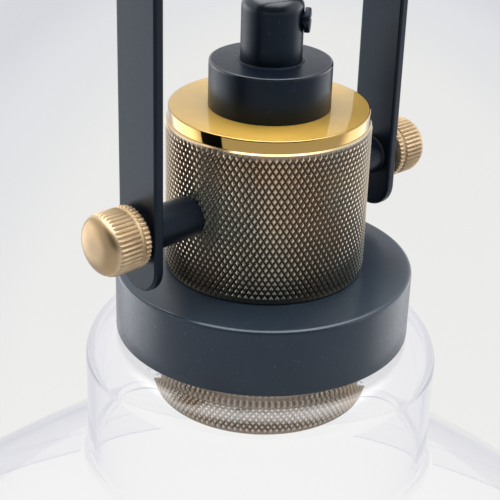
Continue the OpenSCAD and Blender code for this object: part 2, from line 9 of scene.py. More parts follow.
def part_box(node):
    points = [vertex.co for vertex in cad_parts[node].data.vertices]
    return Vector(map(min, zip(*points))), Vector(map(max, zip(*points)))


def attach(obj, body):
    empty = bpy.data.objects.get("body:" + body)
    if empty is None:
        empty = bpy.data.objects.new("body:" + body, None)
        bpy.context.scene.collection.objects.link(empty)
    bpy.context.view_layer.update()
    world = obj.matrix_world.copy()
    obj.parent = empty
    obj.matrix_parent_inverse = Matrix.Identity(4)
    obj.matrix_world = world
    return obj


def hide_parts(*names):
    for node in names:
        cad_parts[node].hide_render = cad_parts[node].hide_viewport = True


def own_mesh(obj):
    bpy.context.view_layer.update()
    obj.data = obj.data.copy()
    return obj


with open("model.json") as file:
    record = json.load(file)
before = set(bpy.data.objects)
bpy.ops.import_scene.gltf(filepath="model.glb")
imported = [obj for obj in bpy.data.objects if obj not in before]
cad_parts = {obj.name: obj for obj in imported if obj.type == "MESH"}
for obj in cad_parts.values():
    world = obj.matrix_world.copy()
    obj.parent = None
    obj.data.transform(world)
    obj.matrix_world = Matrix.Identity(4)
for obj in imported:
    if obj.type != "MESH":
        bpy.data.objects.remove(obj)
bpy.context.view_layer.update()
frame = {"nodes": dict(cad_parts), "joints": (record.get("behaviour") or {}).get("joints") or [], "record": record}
MM = 0.001
JOINTS = {joint["name"]: joint for joint in frame["joints"]}
PIVOT_Z = JOINTS["head_tilt"]["pos_m"][2] / MM


# Sizes from the frame, in millimetres
def corners(node):
    """Lowest and highest corner of a CAD node."""
    low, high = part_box(node)
    return low / MM, high / MM


SLEEVE_LOW, SLEEVE_HIGH = corners("knurled_sleeve")
CAP_LOW, CAP_HIGH = corners("cap_plate")
COLLAR_LOW, COLLAR_HIGH = corners("collar")
GRIP_LOW, GRIP_HIGH = corners("cord_grip")
DISC_LOW, DISC_HIGH = corners("gallery_disc")
GLASS_LOW, GLASS_HIGH = corners("glass_shade")
RING_LOW, RING_HIGH = corners("shade_ring")
SKIRT_LOW, SKIRT_HIGH = corners("holder_skirt")
SHELL_LOW, SHELL_HIGH = corners("screw_shell")
THREAD_LOW, THREAD_HIGH = corners("hang_nipple")
KNOB_HIGH = corners("right_thumbscrew")[1]
SLEEVE_R = SLEEVE_HIGH.x

# Sizes that no box gives, as the part has them, in millimetres
SLEEVE_WALL = 2.5
DISC_SHEET = 1.5
SKIRT_R = 19.9
SKIRT_WALL = 2.2
SKIRT_FLANGE = 2.0
NUT_BORE_R = 4.7
NIPPLE_BORE_R = 4.0
NIPPLE_HOLE_R = 5.1
SHANK_R = 4.6
FIXED_PLAY = 0.1
THREAD_PLAY = 0.08
HUB_PLAY = 0.2
KNOB_DOME = 2.4
# Air over the glass and the shade ring, so that no face crosses the gasket that lies on it
SEAT_GAP = 0.02

# Diamond knurl: width and height of one diamond, and the depth of its grooves
KNURL_WIDTH = 1.58
KNURL_HEIGHT = 2.66
KNURL_DEPTH = 0.46
# Its grooves are this share of the depth at the plain ends
LIP_SHARE = 0.35
# Upright ribs fade out over this height at their ends
RIB_END = 0.4

# Depth of a fine grain, in metres
GRAIN = 0.00004
# Width of the polished band at the cap's edge
CAP_POLISH = 0.5
# Radius of the painted dark reflection on a thumbscrew's face
PAINTED_REFLECTION_R = 6.2
# How far the gloss reaches from the corner of each round rim
COLLAR_RIM, GRIP_RIM, DISC_RIM = 0.7, 3.4, 1.2
# A painted glow in the glass wall, standing in for light that still bounces inside it, and the turns after which
# it starts
PAINTED_GLOW = 0.35
CAUGHT_TURNS = 3.5


# Shaders
class Shader:
    """A node tree with one Principled shader, and short ways to add to it."""

    def __init__(self, name):
        self.mat = bpy.data.materials.new(name)
        self.mat.use_nodes = True
        self.tree = self.mat.node_tree
        self.bsdf = self.tree.nodes["Principled BSDF"]
        self.out = self.tree.nodes["Material Output"]
        self.where = self.add("ShaderNodeTexCoord").outputs["Object"]

    def add(self, kind, **values):
        node = self.tree.nodes.new(kind)
        for key, value in values.items():
            setattr(node, key, value)
        return node

    def link(self, a, b):
        self.tree.links.new(a, b)

    def set(self, **values):
        for key, value in values.items():
            self.bsdf.inputs[key.replace("_", " ")].default_value = value

    def noise(self, scale, detail=3.0, rough=0.5):
        node = self.add("ShaderNodeTexNoise")
        node.inputs["Scale"].default_value = scale
        node.inputs["Detail"].default_value = detail
        node.inputs["Roughness"].default_value = rough
        self.link(self.where, node.inputs["Vector"])
        return node.outputs["Fac"]

    def ramp(self, value, stops):
        """A ramp from (place, grey or colour) pairs."""
        node = self.add("ShaderNodeValToRGB")
        ramp = node.color_ramp
        while len(ramp.elements) < len(stops):
            ramp.elements.new(0.5)
        for element, (place, colour) in zip(ramp.elements, stops):
            element.position = place
            element.color = (*colour, 1) if isinstance(colour, tuple) else (colour,) * 3 + (1,)
        self.link(value, node.inputs["Fac"])
        return node.outputs["Color"]

    def mix(self, factor, a, b, blend="MIX"):
        """A colour mix. Each of factor, a and b is a socket or a plain value."""
        node = self.add("ShaderNodeMix", data_type="RGBA", blend_type=blend)
        for socket, value in zip((node.inputs[0], node.inputs[6], node.inputs[7]), (factor, a, b)):
            self.feed(socket, value)
        return node.outputs[2]

    def maths(self, how, *values):
        node = self.add("ShaderNodeMath", operation=how)
        for socket, value in zip(node.inputs, values):
            self.feed(socket, value)
        return node.outputs[0]

    def feed(self, socket, value):
        if isinstance(value, bpy.types.NodeSocket):
            self.link(value, socket)
        elif isinstance(value, tuple):
            socket.default_value = (*value, 1)
        else:
            socket.default_value = value

    def span(self, value, low, high):
        """0 up to low and 1 from high on, for steps that are too fine for a ramp."""
        node = self.add("ShaderNodeMapRange")
        for name, number in (("Value", value), ("From Min", low), ("From Max", high)):
            self.feed(node.inputs[name], number)
        return node.outputs[0]

    def bump(self, height, strength, distance):
        node = self.add("ShaderNodeBump")
        node.inputs["Strength"].default_value = strength
        node.inputs["Distance"].default_value = distance
        self.link(height, node.inputs["Height"])
        self.link(node.outputs["Normal"], self.bsdf.inputs["Normal"])

    def colour(self, socket):
        self.link(socket, self.bsdf.inputs["Base Color"])

    def roughness(self, socket):
        self.link(socket, self.bsdf.inputs["Roughness"])

    def xyz(self):
        """The three coordinates of a point, in metres."""
        parts = self.add("ShaderNodeSeparateXYZ")
        self.link(self.where, parts.inputs[0])
        return parts.outputs

    def hypotenuse(self, a, b):
        """The length of a vector from its two sides."""
        return self.maths("SQRT", self.maths("ADD", self.maths("MULTIPLY", a, a),
                                             self.maths("MULTIPLY", b, b)))

    def blend_with(self, share, other):
        """Ends the tree in the Principled shader, and in the other one where share is 1."""
        pick = self.add("ShaderNodeMixShader")
        self.link(share, pick.inputs[0])
        self.link(self.bsdf.outputs[0], pick.inputs[1])
        self.link(other.outputs[0], pick.inputs[2])
        self.link(pick.outputs[0], self.out.inputs["Surface"])


def coat(name, dark, light, rough, level, grain, gloss, *rims):
    """Satin powder coat: blue-black, with a very fine grain and a few paler specks. It is
    smoother along round rims, given in mm as the highest corner of a node and a reach."""
    s = Shader(name)
    broad = s.ramp(s.noise(60, 2), [(0.3, dark), (0.7, light)])
    specks = s.ramp(s.noise(1300, 1, 0.5), [(0.66, 0.0), (0.86, 1.0)])
    s.colour(s.mix(specks, broad, tuple(3 * c for c in light)))
    s.roughness(s.ramp(s.noise(900, 2), [(0.3, rough), (0.7, rough + 0.08)]))
    s.bump(s.noise(2600, 2, 0.6), grain, GRAIN)
    s.set(Specular_IOR_Level=level, Specular_Tint=(0.64, 0.81, 1.0, 1.0),
          Coat_Weight=gloss, Coat_Roughness=0.2, Coat_IOR=1.5)
    x, y, z = s.xyz()
    shine = gloss
    for rim, reach in rims:
        out = s.maths("SUBTRACT", s.hypotenuse(x, y), rim.x * MM)
        up = s.maths("SUBTRACT", z, rim.z * MM)
        near = s.span(s.hypotenuse(out, up), reach * MM, 0.5 * reach * MM)
        shine = s.maths("MAXIMUM", near, shine)
    s.link(shine, s.bsdf.inputs["Coat Weight"])
    return s.mat


def turned_brass():
    """Brass turned on a lathe and lacquered: a satin face, and a polished edge and side."""
    s = Shader("cap_brass")
    s.set(Coat_Weight=1.0, Coat_Roughness=0.05, Coat_IOR=1.6,
          Anisotropic=0.7, Anisotropic_Rotation=0.25)
    tangent = s.add("ShaderNodeTangent", direction_type="RADIAL", axis="Z")
    s.link(tangent.outputs[0], s.bsdf.inputs["Tangent"])
    x, y, _ = s.xyz()
    far = s.hypotenuse(x, y)
    rings = s.add("ShaderNodeTexNoise", noise_dimensions="1D")
    rings.inputs["Scale"].default_value = 5200
    rings.inputs["Detail"].default_value = 2
    s.link(far, rings.inputs["W"])
    polished = s.span(far, (CAP_HIGH.x - CAP_POLISH) * MM, (CAP_HIGH.x - 0.5 * CAP_POLISH) * MM)
    face = s.ramp(s.noise(45, 3), [(0.3, (0.63, 0.395, 0.068)), (0.7, (0.73, 0.465, 0.09))])
    s.colour(s.mix(polished, face, (0.54, 0.33, 0.062)))
    satin = s.ramp(s.noise(220, 4), [(0.25, 0.52), (0.75, 0.62)])
    s.roughness(s.mix(polished, satin, (0.08, 0.08, 0.08)))
    s.link(s.ramp(polished, [(0.0, 0.75), (1.0, 1.0)]), s.bsdf.inputs["Metallic"])
    s.bump(rings.outputs["Fac"], 0.10, 0.75 * GRAIN)
    return s.mat


def knurled_brass(name, grooves, tips, cool):
    """Antique brass: worn brighter on the tips of the knurl, dark in its grooves, and darkened towards the
    sleeve's foot by painted shade. cool tints the patches that are greyer than the rest."""
    s = Shader(name)
    s.set(Metallic=1.0)
    tip = s.add("ShaderNodeAttribute", attribute_name="tip").outputs["Fac"]
    # painted shade and reflection: the colour darkens to blue-black towards the foot of the sleeve, where the
    # black disc lies below it
    height = s.maths("DIVIDE", s.maths("SUBTRACT", s.xyz()["Z"], SLEEVE_LOW.z * MM),
                     (SLEEVE_HIGH.z - SLEEVE_LOW.z) * MM)
    foot = s.ramp(s.maths("ABSOLUTE", height), [(0.0, 0.33), (0.5, 1.0)])
    patina = s.maths("MULTIPLY", s.maths("SUBTRACT", s.noise(70, 4), 0.5), 0.3)
    worn = s.maths("DIVIDE", s.maths("ADD", tip, patina), 1.4)
    brass = s.ramp(worn, [(0.0, grooves), (0.12, tuple(0.4 * c for c in tips)),
                          (0.35, tuple(0.6 * c for c in tips)), (0.70, tips),
                          (0.95, (0.86, 0.68, 0.39))])
    patches = s.ramp(s.noise(34, 2), [(0.38, (1.0, 0.88, 0.76)), (0.50, (0.97, 0.95, 0.90)),
                                      (0.62, cool)])
    # the blue-black mixed in here is the painted shade and reflection of the disc below
    s.colour(s.mix(foot, (0.018, 0.026, 0.032), s.mix(1.0, brass, patches, "MULTIPLY")))
    s.roughness(s.ramp(worn, [(0.1, 0.45), (0.7, 0.20)]))
    s.bump(s.noise(1800, 3), 0.12, GRAIN)
    return s.mat


def thumbscrew_brass():
    """Pale brass, lightly tumbled, with brown stains, and a painted dark reflection in the middle of its face."""
    s = Shader("thumbscrew_brass")
    s.set(Specular_IOR_Level=0.6)
    x, y, z = s.xyz()
    # the domed face is more polished and browner than the toothed sides
    face = s.span(s.maths("ABSOLUTE", x), (KNOB_HIGH.x - KNOB_DOME) * MM,
                  (KNOB_HIGH.x - 0.6 * KNOB_DOME) * MM)
    s.link(s.maths("MULTIPLY_ADD", face, 0.45, 0.5), s.bsdf.inputs["Metallic"])
    tip = s.add("ShaderNodeAttribute", attribute_name="tip").outputs["Fac"]
    metal = s.ramp(s.noise(130, 4), [(0.3, (0.73, 0.54, 0.32)), (0.7, (0.90, 0.69, 0.43))])
    stain = s.ramp(s.noise(95, 2), [(0.48, 0.0), (0.62, 0.7)])
    stained = s.mix(stain, metal, (0.42, 0.29, 0.165))
    teeth = s.mix(s.ramp(tip, [(0.0, 0.0), (0.5, 1.0)]), (0.40, 0.275, 0.15), stained)
    # painted reflection: the face darkens towards its middle, for the dark side of the room that it mirrors
    off = s.hypotenuse(s.maths("SUBTRACT", z, PIVOT_Z * MM), y)
    mottle = s.maths("MULTIPLY", s.maths("SUBTRACT", s.noise(160, 3), 0.5), 0.004)
    middle = s.span(s.maths("ADD", off, mottle), PAINTED_REFLECTION_R * MM, 0.25 * PAINTED_REFLECTION_R * MM)
    polished = s.mix(middle, (0.40, 0.275, 0.138), (0.18, 0.127, 0.074))
    s.colour(s.mix(s.maths("MULTIPLY", face, 0.8), teeth, polished))
    satin = s.ramp(s.noise(500, 4), [(0.25, 0.36), (0.75, 0.50)])
    s.roughness(s.mix(face, satin, (0.34, 0.34, 0.34)))
    s.bump(s.noise(700, 3), 0.25, 1.5 * GRAIN)
    return s.mat


def plain(name, dark, light, rough, metallic=0.0, scale=150, grain=0.12):
    """A plain moulded, plated or turned surface: a faint mottle, uneven gloss and a fine grain."""
    s = Shader(name)
    s.set(Metallic=metallic)
    s.colour(s.ramp(s.noise(scale, 4), [(0.3, dark), (0.7, light)]))
    s.roughness(s.ramp(s.noise(3 * scale, 3), [(0.3, rough[0]), (0.7, rough[1])]))
    s.bump(s.noise(10 * scale, 3), grain, GRAIN)
    return s.mat


def clear_glass():
    """Blown glass with a faint lilac tint, which shows only where the eye looks along the wall."""
    s = Shader("clear_glass")
    s.set(Base_Color=(0.985, 0.985, 0.99, 1), Roughness=0.0, IOR=1.5, Transmission_Weight=1.0)
    s.bump(s.noise(7, 2), 0.08, 0.002)
    tint = s.add("ShaderNodeVolumeAbsorption")
    tint.inputs["Color"].default_value = (0.70, 0.69, 0.80, 1)
    tint.inputs["Density"].default_value = 20.0
    s.link(tint.outputs[0], s.out.inputs["Volume"])
    path = s.add("ShaderNodeLightPath")
    # painted glow: after a few turns inside the wall the glass glows pale, standing in for light from all round
    # the room
    s.set(Emission_Color=(0.85, 0.85, 0.9, 1))
    painted_glow = s.maths("GREATER_THAN", path.outputs["Glossy Depth"], CAUGHT_TURNS)
    s.link(s.maths("MULTIPLY", painted_glow, PAINTED_GLOW), s.bsdf.inputs["Emission Strength"])
    # it throws no dark shadow
    s.blend_with(path.outputs["Is Shadow Ray"], s.add("ShaderNodeBsdfTransparent"))
    return s.mat


for old in list(bpy.data.materials):
    bpy.data.materials.remove(old)

MATERIALS = {made.name: made for made in (
    coat("black_coat", (0.0038, 0.0065, 0.0125), (0.0065, 0.0107, 0.0195), 0.30, 0.32, 0.22, 0.0,
         (COLLAR_HIGH, COLLAR_RIM), (GRIP_HIGH, GRIP_RIM)),
    # the disc's coat is a lighter copy of the black coat: painted light, for the brighter light that the disc's
    # side shows
    coat("disc_coat_painted_light", (0.0145, 0.0235, 0.0375), (0.0195, 0.0315, 0.0485), 0.36, 0.45, 0.5, 0.45,
         (DISC_HIGH, DISC_RIM)),
    turned_brass(),
    knurled_brass("knurled_brass", (0.045, 0.041, 0.037), (0.72, 0.635, 0.52), (0.84, 0.96, 1.0)),
    # the shade ring's brass is a paler, lower-contrast copy of the knurled brass: a painted highlight, for the
    # pale veil of reflection that the glass lays over it
    knurled_brass("ring_brass_painted_highlight", (0.22, 0.19, 0.155), (0.58, 0.51, 0.42), (1.0, 0.93, 0.87)),
    thumbscrew_brass(),
    clear_glass(),
    plain("black_fastener", (0.011, 0.0115, 0.013), (0.021, 0.0215, 0.024), (0.3, 0.42)),
    plain("contact_brass", (0.62, 0.42, 0.13), (0.74, 0.52, 0.19), (0.25, 0.38), 1.0, 110),
    plain("steel", (0.50, 0.51, 0.52), (0.62, 0.63, 0.645), (0.26, 0.42), 1.0, 120),
    plain("rubber", (0.011, 0.011, 0.012), (0.02, 0.02, 0.021), (0.7, 0.85), 0.0, 200, 0.3),
    plain("phenolic", (0.012, 0.011, 0.010), (0.027, 0.024, 0.021), (0.22, 0.34), 0.0, 110, 0.08),
    plain("ceramic", (0.72, 0.70, 0.64), (0.82, 0.80, 0.75), (0.45, 0.6), 0.0, 140, 0.2),
    plain("nylon", (0.70, 0.69, 0.64), (0.78, 0.77, 0.72), (0.4, 0.52), 0.0, 140, 0.15),
)}

for part in frame["record"]["subparts"]:
    mesh = frame["nodes"][part["node"]].data
    mesh.materials.clear()
    mesh.materials.append(MATERIALS[part["material_slot"]])


# Outlines and meshes
def arc(cx, cy, r, a0, a1, n):
    """Points on an arc, with its angles in degrees."""
    angles = [math.radians(a0 + (a1 - a0) * i / n) for i in range(n + 1)]
    return [(cx + r * math.cos(a), cy + r * math.sin(a)) for a in angles]


def rounded(points, steps=4, most=0.49):
    """A closed outline with round corners, from (r, z, corner radius) triples. A corner takes
    up less than half of each side."""
    out = []
    for i, (x, y, radius) in enumerate(points):
        here = Vector((x, y))
        back = Vector(points[i - 1][:2]) - here
        on = Vector(points[(i + 1) % len(points)][:2]) - here
        if radius == 0:
            out.append(tuple(here))
            continue
        half = back.angle(on) / 2
        reach = min(radius / math.tan(half), most * back.length, most * on.length)
        a, b = here + back.normalized() * reach, here + on.normalized() * reach
        for k in range(steps + 1):
            t = k / steps
            out.append(tuple(a * (1 - t) ** 2 + here * 2 * t * (1 - t) + b * t ** 2))
    return out


def apart(points, least=0.001):
    """An outline without the points that repeat the one before, as where two arcs meet."""
    return [here for back, here in zip(points[-1:] + points[:-1], points)
            if math.dist(back[:2], here[:2]) > least]


def smoothstep(t):
    t = min(max(t, 0.0), 1.0)
    return t * t * (3 - 2 * t)


def band(low, high):
    """Faces between two rings of vertices, either of which may be one point on the axis."""
    n = max(len(low), len(high))
    if n == 1:
        return []
    faces = []
    for i in range(n):
        k = (i + 1) % n
        if len(low) == 1:
            faces.append((low[0], high[k], high[i]))
        elif len(high) == 1:
            faces.append((low[i], low[k], high[0]))
        else:
            faces.append((low[i], low[k], high[k], high[i]))
    return faces


def revolve(outline, segments, cut=None, closed=True):
    """Verts, faces and cuts of an outline of (r, z) or (r, z, depth) points turned about the
    z axis. cut(angle, z) is 0 to 1, and times the depth it is taken off the radius."""
    verts, rings, cuts = [], [], []
    for r, z, *depth in outline:
        count = 1 if r < 1e-6 else segments
        rings.append([len(verts) + i for i in range(count)])
        for i in range(count):
            a = 2 * math.pi * i / segments
            share = cut(a, z) if depth and depth[0] > 0 else 0.0
            here = r - share * depth[0] if share else r
            verts.append((here * math.cos(a), here * math.sin(a), z))
            cuts.append(share)
    faces = []
    for a, b in zip(rings, rings[1:] + rings[:1] if closed else rings[1:]):
        faces += band(a, b)
    return verts, faces, cuts


def place(name, verts, faces, slot, body, *nodes, look=None, sharp=40, tip=None, at=None):
    """Makes a piece from verts in mm, that replaces CAD nodes and rides on their body."""
    mesh = bpy.data.meshes.new(name)
    points = [Vector(v) for v in verts]
    if at:
        points = [at @ v for v in points]
    mesh.from_pydata([p * MM for p in points], [], faces)
    mesh.validate()
    if tip is not None:
        layer = mesh.attributes.new("tip", "FLOAT", "POINT")
        layer.data.foreach_set("value", tip)
    mesh.materials.append(MATERIALS[look or slot])
    piece = bpy.data.objects.new(name, mesh)
    bpy.context.scene.collection.objects.link(piece)
    soften(mesh, sharp)
    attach(piece, body)
    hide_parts(*nodes)
    return piece


def soften(mesh, sharp=40):
    mesh.shade_smooth()
    mesh.set_sharp_from_angle(angle=math.radians(sharp))


def lathe(name, points, slot, body, *nodes, segments=192, steps=4, cut=None, **more):
    """A turned piece. Points are (r, z, corner radius), or ready outlines with steps=0."""
    outline = rounded(points, steps) if steps else points
    verts, faces, _ = revolve(outline, segments, cut)
    return place(name, verts, faces, slot, body, *nodes, **more)


def cut_away(piece, tool):
    """Takes the tool's shape out of a piece and deletes the tool."""
    modifier = piece.modifiers.new("cut", "BOOLEAN")
    modifier.object = tool
    modifier.solver = "EXACT"
    graph = bpy.context.evaluated_depsgraph_get()
    made = bpy.data.meshes.new_from_object(piece.evaluated_get(graph))
    piece.modifiers.clear()
    old = piece.data
    piece.data = made
    bpy.data.meshes.remove(old)
    bpy.data.objects.remove(tool)
    soften(made)


def cutter(verts, faces, at):
    """A closed shape, in mm, for cut_away."""
    mesh = bpy.data.meshes.new("cutter")
    mesh.from_pydata([(at @ Vector(v)) * MM for v in verts], [], faces)
    tool = bpy.data.objects.new("cutter", mesh)
    bpy.context.scene.collection.objects.link(tool)
    bpy.context.view_layer.update()
    return tool


def screw_thread(pitch):
    """The wave of a rounded right-hand thread: 0 on its crest and 1 in its root."""
    return lambda a, z: 0.5 - 0.5 * math.cos(2 * math.pi * (z / pitch) - a)


def threaded_line(r, z0, z1, pitch, depth, rows=10):
    """Outline points of a thread from z0 to z1, which fades out over half a pitch at its ends."""
    count = round(abs(z1 - z0) / pitch * rows)
    line = []
    for i in range(count + 1):
        z = z0 + (z1 - z0) * i / count
        end = min(abs(z - z0), abs(z1 - z)) / (0.5 * pitch)
        line.append((r, z, depth * smoothstep(end)))
    return line


# Knurled sleeve and shade ring
def knurled(name, body, node, radius, bottom, top, inside, chamfer=0.35, hem=0.08, ribs=0,
            look=None):
    """A ring with a diamond knurl on its outside, up to the chamfers at its ends. inside is the
    rest of its outline, as (r, z), from its top edge round to its bottom edge. Each diamond is
    a little pillow with a flat tip. ribs is the height of a band of upright ribs above them,
    and hem that of the plain edge at either end."""
    around = 2 * round(2 * math.pi * radius / KNURL_WIDTH)
    first, last = bottom + chamfer + hem, top - chamfer - hem - ribs
    rows = 2 * round((last - first) / KNURL_HEIGHT)
    root, lip = radius - KNURL_DEPTH, radius - LIP_SHARE * KNURL_DEPTH
    # (share of the half diagonals, share of the depth, value of tip)
    pillow = [(0.72, 0.50, 0.40), (0.30, 0.0, 1.0)]
    groove_tip, inner_tip, foot_tip, edge_tip = 0.0, 0.5, 0.8, 1.3
    verts, faces, tip = [], [], []

    def add(r, k, z, high):
        a = 2 * math.pi * k / around
        verts.append((r * math.cos(a), r * math.sin(a), z))
        tip.append(high)
        return len(verts) - 1

    def ring(r, z, high):
        return [add(r, k, z, high) for k in range(around)]

    step = (last - first) / rows
    grid = {}
    for level in range(rows + 1):
        edge = level in (0, rows)
        for k in range(around):
            if edge or (k + level) % 2 == 0:
                grid[k, level] = add(lip if edge else root, k, first + level * step,
                                     inner_tip if edge else groove_tip)
    for level in range(1, rows):
        z = first + level * step
        for k in range(around):
            if (k + level) % 2 == 0:
                continue
            loop = [grid[(k + 1) % around, level], grid[k, level + 1],
                    grid[(k - 1) % around, level], grid[k, level - 1]]
            for share, deep, high in pillow:
                r = radius - deep * KNURL_DEPTH
                near = [add(r, k + share, z, high), add(r, k, z + share * step, high),
                        add(r, k - share, z, high), add(r, k, z - share * step, high)]
                for i in range(4):
                    j = (i + 1) % 4
                    faces.append((loop[i], loop[j], near[j], near[i]))
                loop = near
            faces.append(tuple(loop))
    # half diamonds against the plain ends
    for level, on in ((0, 1), (rows, -1)):
        for k in range(around):
            if (k + level) % 2 == 0:
                continue
            a, b, c = [grid[n % around, level] for n in (k - 1, k, k + 1)]
            d = grid[k, level + on]
            for tri in ((a, b, d), (b, c, d)):
                faces.append(tri if on == 1 else tri[::-1])
    upper = [grid[k, rows] for k in range(around)]
    lower = [grid[k, 0] for k in range(around)]
    rings = [upper]
    if ribs:
        for z in (last + RIB_END, last + ribs - RIB_END):
            rings.append([add(radius - k % 2 * KNURL_DEPTH, k, z, 1 - k % 2)
                          for k in range(around)])
    rings += [ring(lip, top - chamfer, edge_tip), ring(lip - chamfer, top, edge_tip)]
    rings += [ring(r, z, inner_tip) for r, z in inside]
    rings += [ring(lip - chamfer, bottom, foot_tip), ring(lip, first - hem, foot_tip), lower]
    for a, b in zip(rings, rings[1:]):
        faces += band(a, b)
    return place(name, verts, faces, "knurled_brass", body, node, look=look, sharp=24, tip=tip)


SLEEVE_IN = SLEEVE_R - SLEEVE_WALL
knurled("sleeve_knurl", "head", "knurled_sleeve", SLEEVE_R, SLEEVE_LOW.z, SLEEVE_HIGH.z,
        [(SLEEVE_IN, SLEEVE_HIGH.z), (SLEEVE_IN, SLEEVE_LOW.z)])

RING_BORE = SKIRT_R + THREAD_PLAY
RING_WALL = 3.0
RING_THREAD_H = 6.0
RING_RECESS = RING_HIGH.x - RING_WALL
RING_STEP = RING_HIGH.z - RING_THREAD_H
RING_RIBS = 5.0
RING_TOP = RING_HIGH.z - SEAT_GAP
# its paler brass is a painted highlight, for the glass's reflection over the ring
knurled("shade_ring_knurl", "shade_ring", "shade_ring", RING_HIGH.x, RING_LOW.z, RING_TOP,
        [(RING_BORE, RING_TOP), (RING_BORE, RING_STEP),
         (RING_RECESS, RING_STEP - (RING_RECESS - RING_BORE) / 2), (RING_RECESS, RING_LOW.z)],
        ribs=RING_RIBS, look="ring_brass_painted_highlight")


# Cap, collar and gallery disc
lathe("cap_disc", [(NIPPLE_HOLE_R, CAP_LOW.z, 0.2), (SLEEVE_IN - FIXED_PLAY, CAP_LOW.z, 0.3),
      (SLEEVE_IN - FIXED_PLAY, SLEEVE_HIGH.z, 0), (CAP_HIGH.x, SLEEVE_HIGH.z, 0.15),
      (CAP_HIGH.x, CAP_HIGH.z, 0.45), (NIPPLE_HOLE_R, CAP_HIGH.z, 0.2)],
      "cap_brass", "head", "cap_plate", segments=256)

COLLAR_WALL = 2.0
COLLAR_IN = COLLAR_HIGH.x - COLLAR_WALL
COLLAR_TOP = COLLAR_HIGH.z
# the low bead round the foot of the cord grip
BEAD_IN, BEAD_OUT, BEAD_H = GRIP_HIGH.x + 0.06, GRIP_HIGH.x + 0.62, 0.3
lathe("collar_shell", [(COLLAR_IN, COLLAR_LOW.z, 0), (COLLAR_HIGH.x, COLLAR_LOW.z, 0.15),
      (COLLAR_HIGH.x, COLLAR_TOP, 0.55), (BEAD_OUT, COLLAR_TOP, 0.1),
      (BEAD_OUT - 0.1, COLLAR_TOP + BEAD_H, 0.15), (BEAD_IN, COLLAR_TOP + BEAD_H, 0.1),
      (BEAD_IN, COLLAR_TOP, 0), (NIPPLE_HOLE_R, COLLAR_TOP, 0.2),
      (NIPPLE_HOLE_R, COLLAR_TOP - COLLAR_WALL, 0.2), (COLLAR_IN, COLLAR_TOP - COLLAR_WALL, 0)],
      "black_coat", "head", "collar")

HUB_R = SKIRT_R + HUB_PLAY
DISC_R = DISC_HIGH.x
# its lighter coat is painted light
lathe("gallery_shell", [(HUB_R, DISC_HIGH.z - DISC_SHEET, 0),
      (DISC_R - DISC_SHEET, DISC_HIGH.z - DISC_SHEET, 0.4), (DISC_R - DISC_SHEET, DISC_LOW.z, 0),
      (DISC_R, DISC_LOW.z, 0.3), (DISC_R, DISC_HIGH.z, 1.3), (HUB_R, DISC_HIGH.z, 0)],
      "black_coat", "head", "gallery_disc", segments=256, steps=6, look="disc_coat_painted_light")


# Cord grip and its clamp screw, which turns about its own joint's axis
clamp = Vector(JOINTS["grip_screw_turn"]["axis"]).normalized()
CLAMP_Z = JOINTS["grip_screw_turn"]["pos_m"][2] / MM
TO_CLAMP = clamp.to_track_quat("Z", "Y").to_matrix().to_4x4()
AT_CLAMP = Matrix.Translation((0, 0, CLAMP_Z)) @ TO_CLAMP
GRIP_R = GRIP_HIGH.x
GRIP_ROUND = 3.0
GRIP_CHAMFER = 0.25
GRIP_SOCKET = 7.5
CORD_R = 3.8
CORD_ROUND = 0.4
CLAMP_R = 2.0
CLAMP_HOLE_R = CLAMP_R + THREAD_PLAY
CLAMP_HEAD_R = 3.1
CLAMP_HEAD_T = 1.4
CLAMP_HEAD_GAP = 0.2
CLAMP_HEAD_START = GRIP_R + CLAMP_HEAD_GAP
CLAMP_HEAD_END = CLAMP_HEAD_START + CLAMP_HEAD_T
PAD_T = 1.5
PAD_GAP = 0.05
CLAMP_TIP = CORD_R + PAD_GAP + PAD_T + PAD_GAP
SLOT_W, SLOT_DEPTH = 0.9, 0.8

grip = lathe("grip_shell", [(NUT_BORE_R, GRIP_LOW.z), (GRIP_R - GRIP_CHAMFER, GRIP_LOW.z),
             (GRIP_R, GRIP_LOW.z + GRIP_CHAMFER)]
             + arc(GRIP_R - GRIP_ROUND, GRIP_HIGH.z - GRIP_ROUND, GRIP_ROUND, 0, 90, 12)
             + arc(CORD_R + CORD_ROUND, GRIP_HIGH.z - CORD_ROUND, CORD_ROUND, 90, 180, 4)
             + [(CORD_R, GRIP_LOW.z + GRIP_SOCKET), (NUT_BORE_R, GRIP_LOW.z + GRIP_SOCKET)],
             "black_coat", "head", "cord_grip", segments=128, steps=0)
hole_verts, hole_faces, _ = revolve([(0, 0), (CLAMP_HOLE_R, 0), (CLAMP_HOLE_R, 2 * GRIP_R),
                                     (0, 2 * GRIP_R)], 48)
cut_away(grip, cutter(hole_verts, hole_faces, AT_CLAMP))

screw = lathe("clamp_screw", [(0, CLAMP_TIP, 0), (CLAMP_R, CLAMP_TIP, 0.3),
              (CLAMP_R, CLAMP_HEAD_START, 0.1), (CLAMP_HEAD_R, CLAMP_HEAD_START, 0.15),
              (CLAMP_HEAD_R, CLAMP_HEAD_END, 0.5), (0, CLAMP_HEAD_END, 0)],
              "black_fastener", "grip_screw", "grip_screw", segments=64, at=AT_CLAMP,
              look="black_coat")
reach, half = 2 * CLAMP_HEAD_R, SLOT_W / 2
slot_verts = [(x, y, z) for z in (CLAMP_HEAD_END - SLOT_DEPTH, CLAMP_HEAD_END + SLOT_DEPTH)
              for x, y in ((-reach, -half), (reach, -half), (reach, half), (-reach, half))]
slot_faces = [(3, 2, 1, 0), (4, 5, 6, 7)]
slot_faces += [(i, (i + 1) % 4, (i + 1) % 4 + 4, i + 4) for i in range(4)]
cut_away(screw, cutter(slot_verts, slot_faces, AT_CLAMP))


# Nuts and thread at the crossbar. The circle on a nut's faces is a share of its flats' radius
NUT_CIRCLE, NUT_SLOPE, NUT_CHAMFER = 0.97, 30, 0.4


